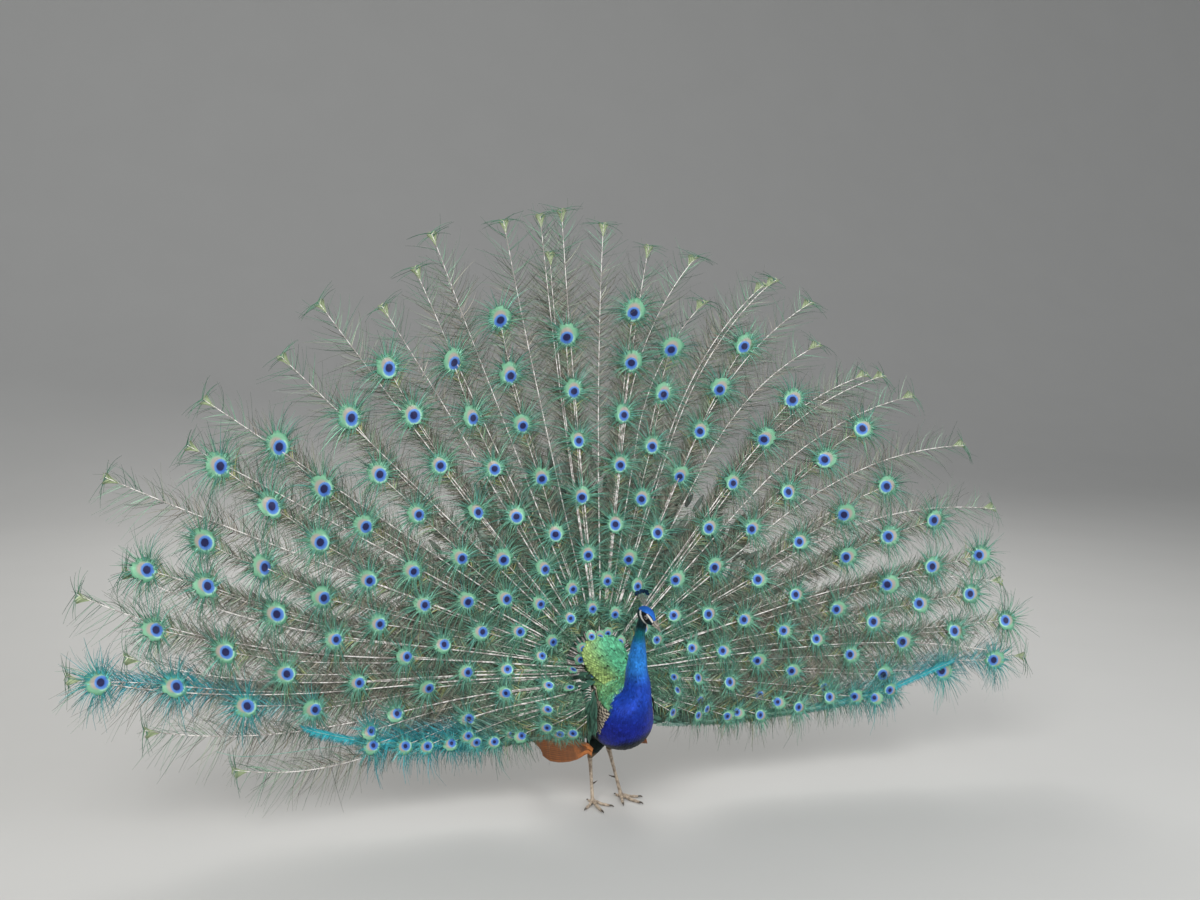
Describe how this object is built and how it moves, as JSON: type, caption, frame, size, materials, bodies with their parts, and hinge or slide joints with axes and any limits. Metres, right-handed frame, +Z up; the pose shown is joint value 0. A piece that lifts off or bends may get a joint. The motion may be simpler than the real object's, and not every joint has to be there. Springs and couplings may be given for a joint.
{
  "type": "peacock",
  "caption": "Standing peacock displaying its raised, spread train, life size, in museum-model form, with its head turned slightly to its left.",
  "frame": {"origin": "centre of the bounding box at floor level, close behind and between the feet", "axes": "+Z up from the floor, +X to the bird's left across the spread train, -Y the way the bird faces, +Y to its rear"},
  "size_m": [2.924, 0.5258, 1.7288],
  "materials": {
    "belly_plumage": "green-black body feathers, soft sheen",
    "breast_plumage": "glossy cobalt blue feathers",
    "head_plumage": "short bright blue feathers with black and white bare cheeks",
    "crest_feathers": "bare pale shafts with teal spatula tips",
    "horn": "grey-brown horn, slightly polished",
    "eye": "wet dark brown eye",
    "wing_coverts": "barred buff and black feathers",
    "flight_feathers": "chestnut flight feathers",
    "back_scales": "scaly gold-green feathers with a metallic gloss",
    "train_rim": "turquoise-green rim feathers",
    "train_feathers": "bronze-green barbs on ivory shafts, with blue and copper eyespots",
    "tail_feathers": "stiff plain brown feathers",
    "vent_down": "fluffy grey-brown down",
    "thigh_feathers": "soft buff and dark feathers",
    "leg_scales": "pale horn-coloured scaly skin"
  },
  "bodies": {
    "root": {"bill_lower": "horn", "bill_upper": "horn", "claw_inner_left": "horn", "claw_inner_right": "horn", "claw_mid_left": "horn", "claw_mid_right": "horn", "claw_outer_left": "horn", "claw_outer_right": "horn", "claw_rear_left": "horn", "claw_rear_right": "horn", "crest": "crest_feathers", "eye_left": "eye", "eye_right": "eye", "foot_left": "leg_scales", "foot_right": "leg_scales", "head": "head_plumage", "mantle": "back_scales", "neck": "breast_plumage", "primaries_left": "flight_feathers", "primaries_right": "flight_feathers", "shank_left": "leg_scales", "shank_right": "leg_scales", "spur_left": "horn", "spur_right": "horn", "tail": "tail_feathers", "thigh_left": "thigh_feathers", "thigh_right": "thigh_feathers", "train_01": "train_feathers", "train_02": "train_feathers", "train_03": "train_feathers", "train_04": "train_feathers", "train_05": "train_feathers", "train_06": "train_feathers", "train_07": "train_feathers", "train_08": "train_feathers", "train_09": "train_feathers", "train_10": "train_feathers", "train_11": "train_feathers", "train_rim_left": "train_rim", "train_rim_right": "train_rim", "trunk": "belly_plumage", "vent": "vent_down", "wing_left": "wing_coverts", "wing_right": "wing_coverts"}
  },
  "joints": []
}
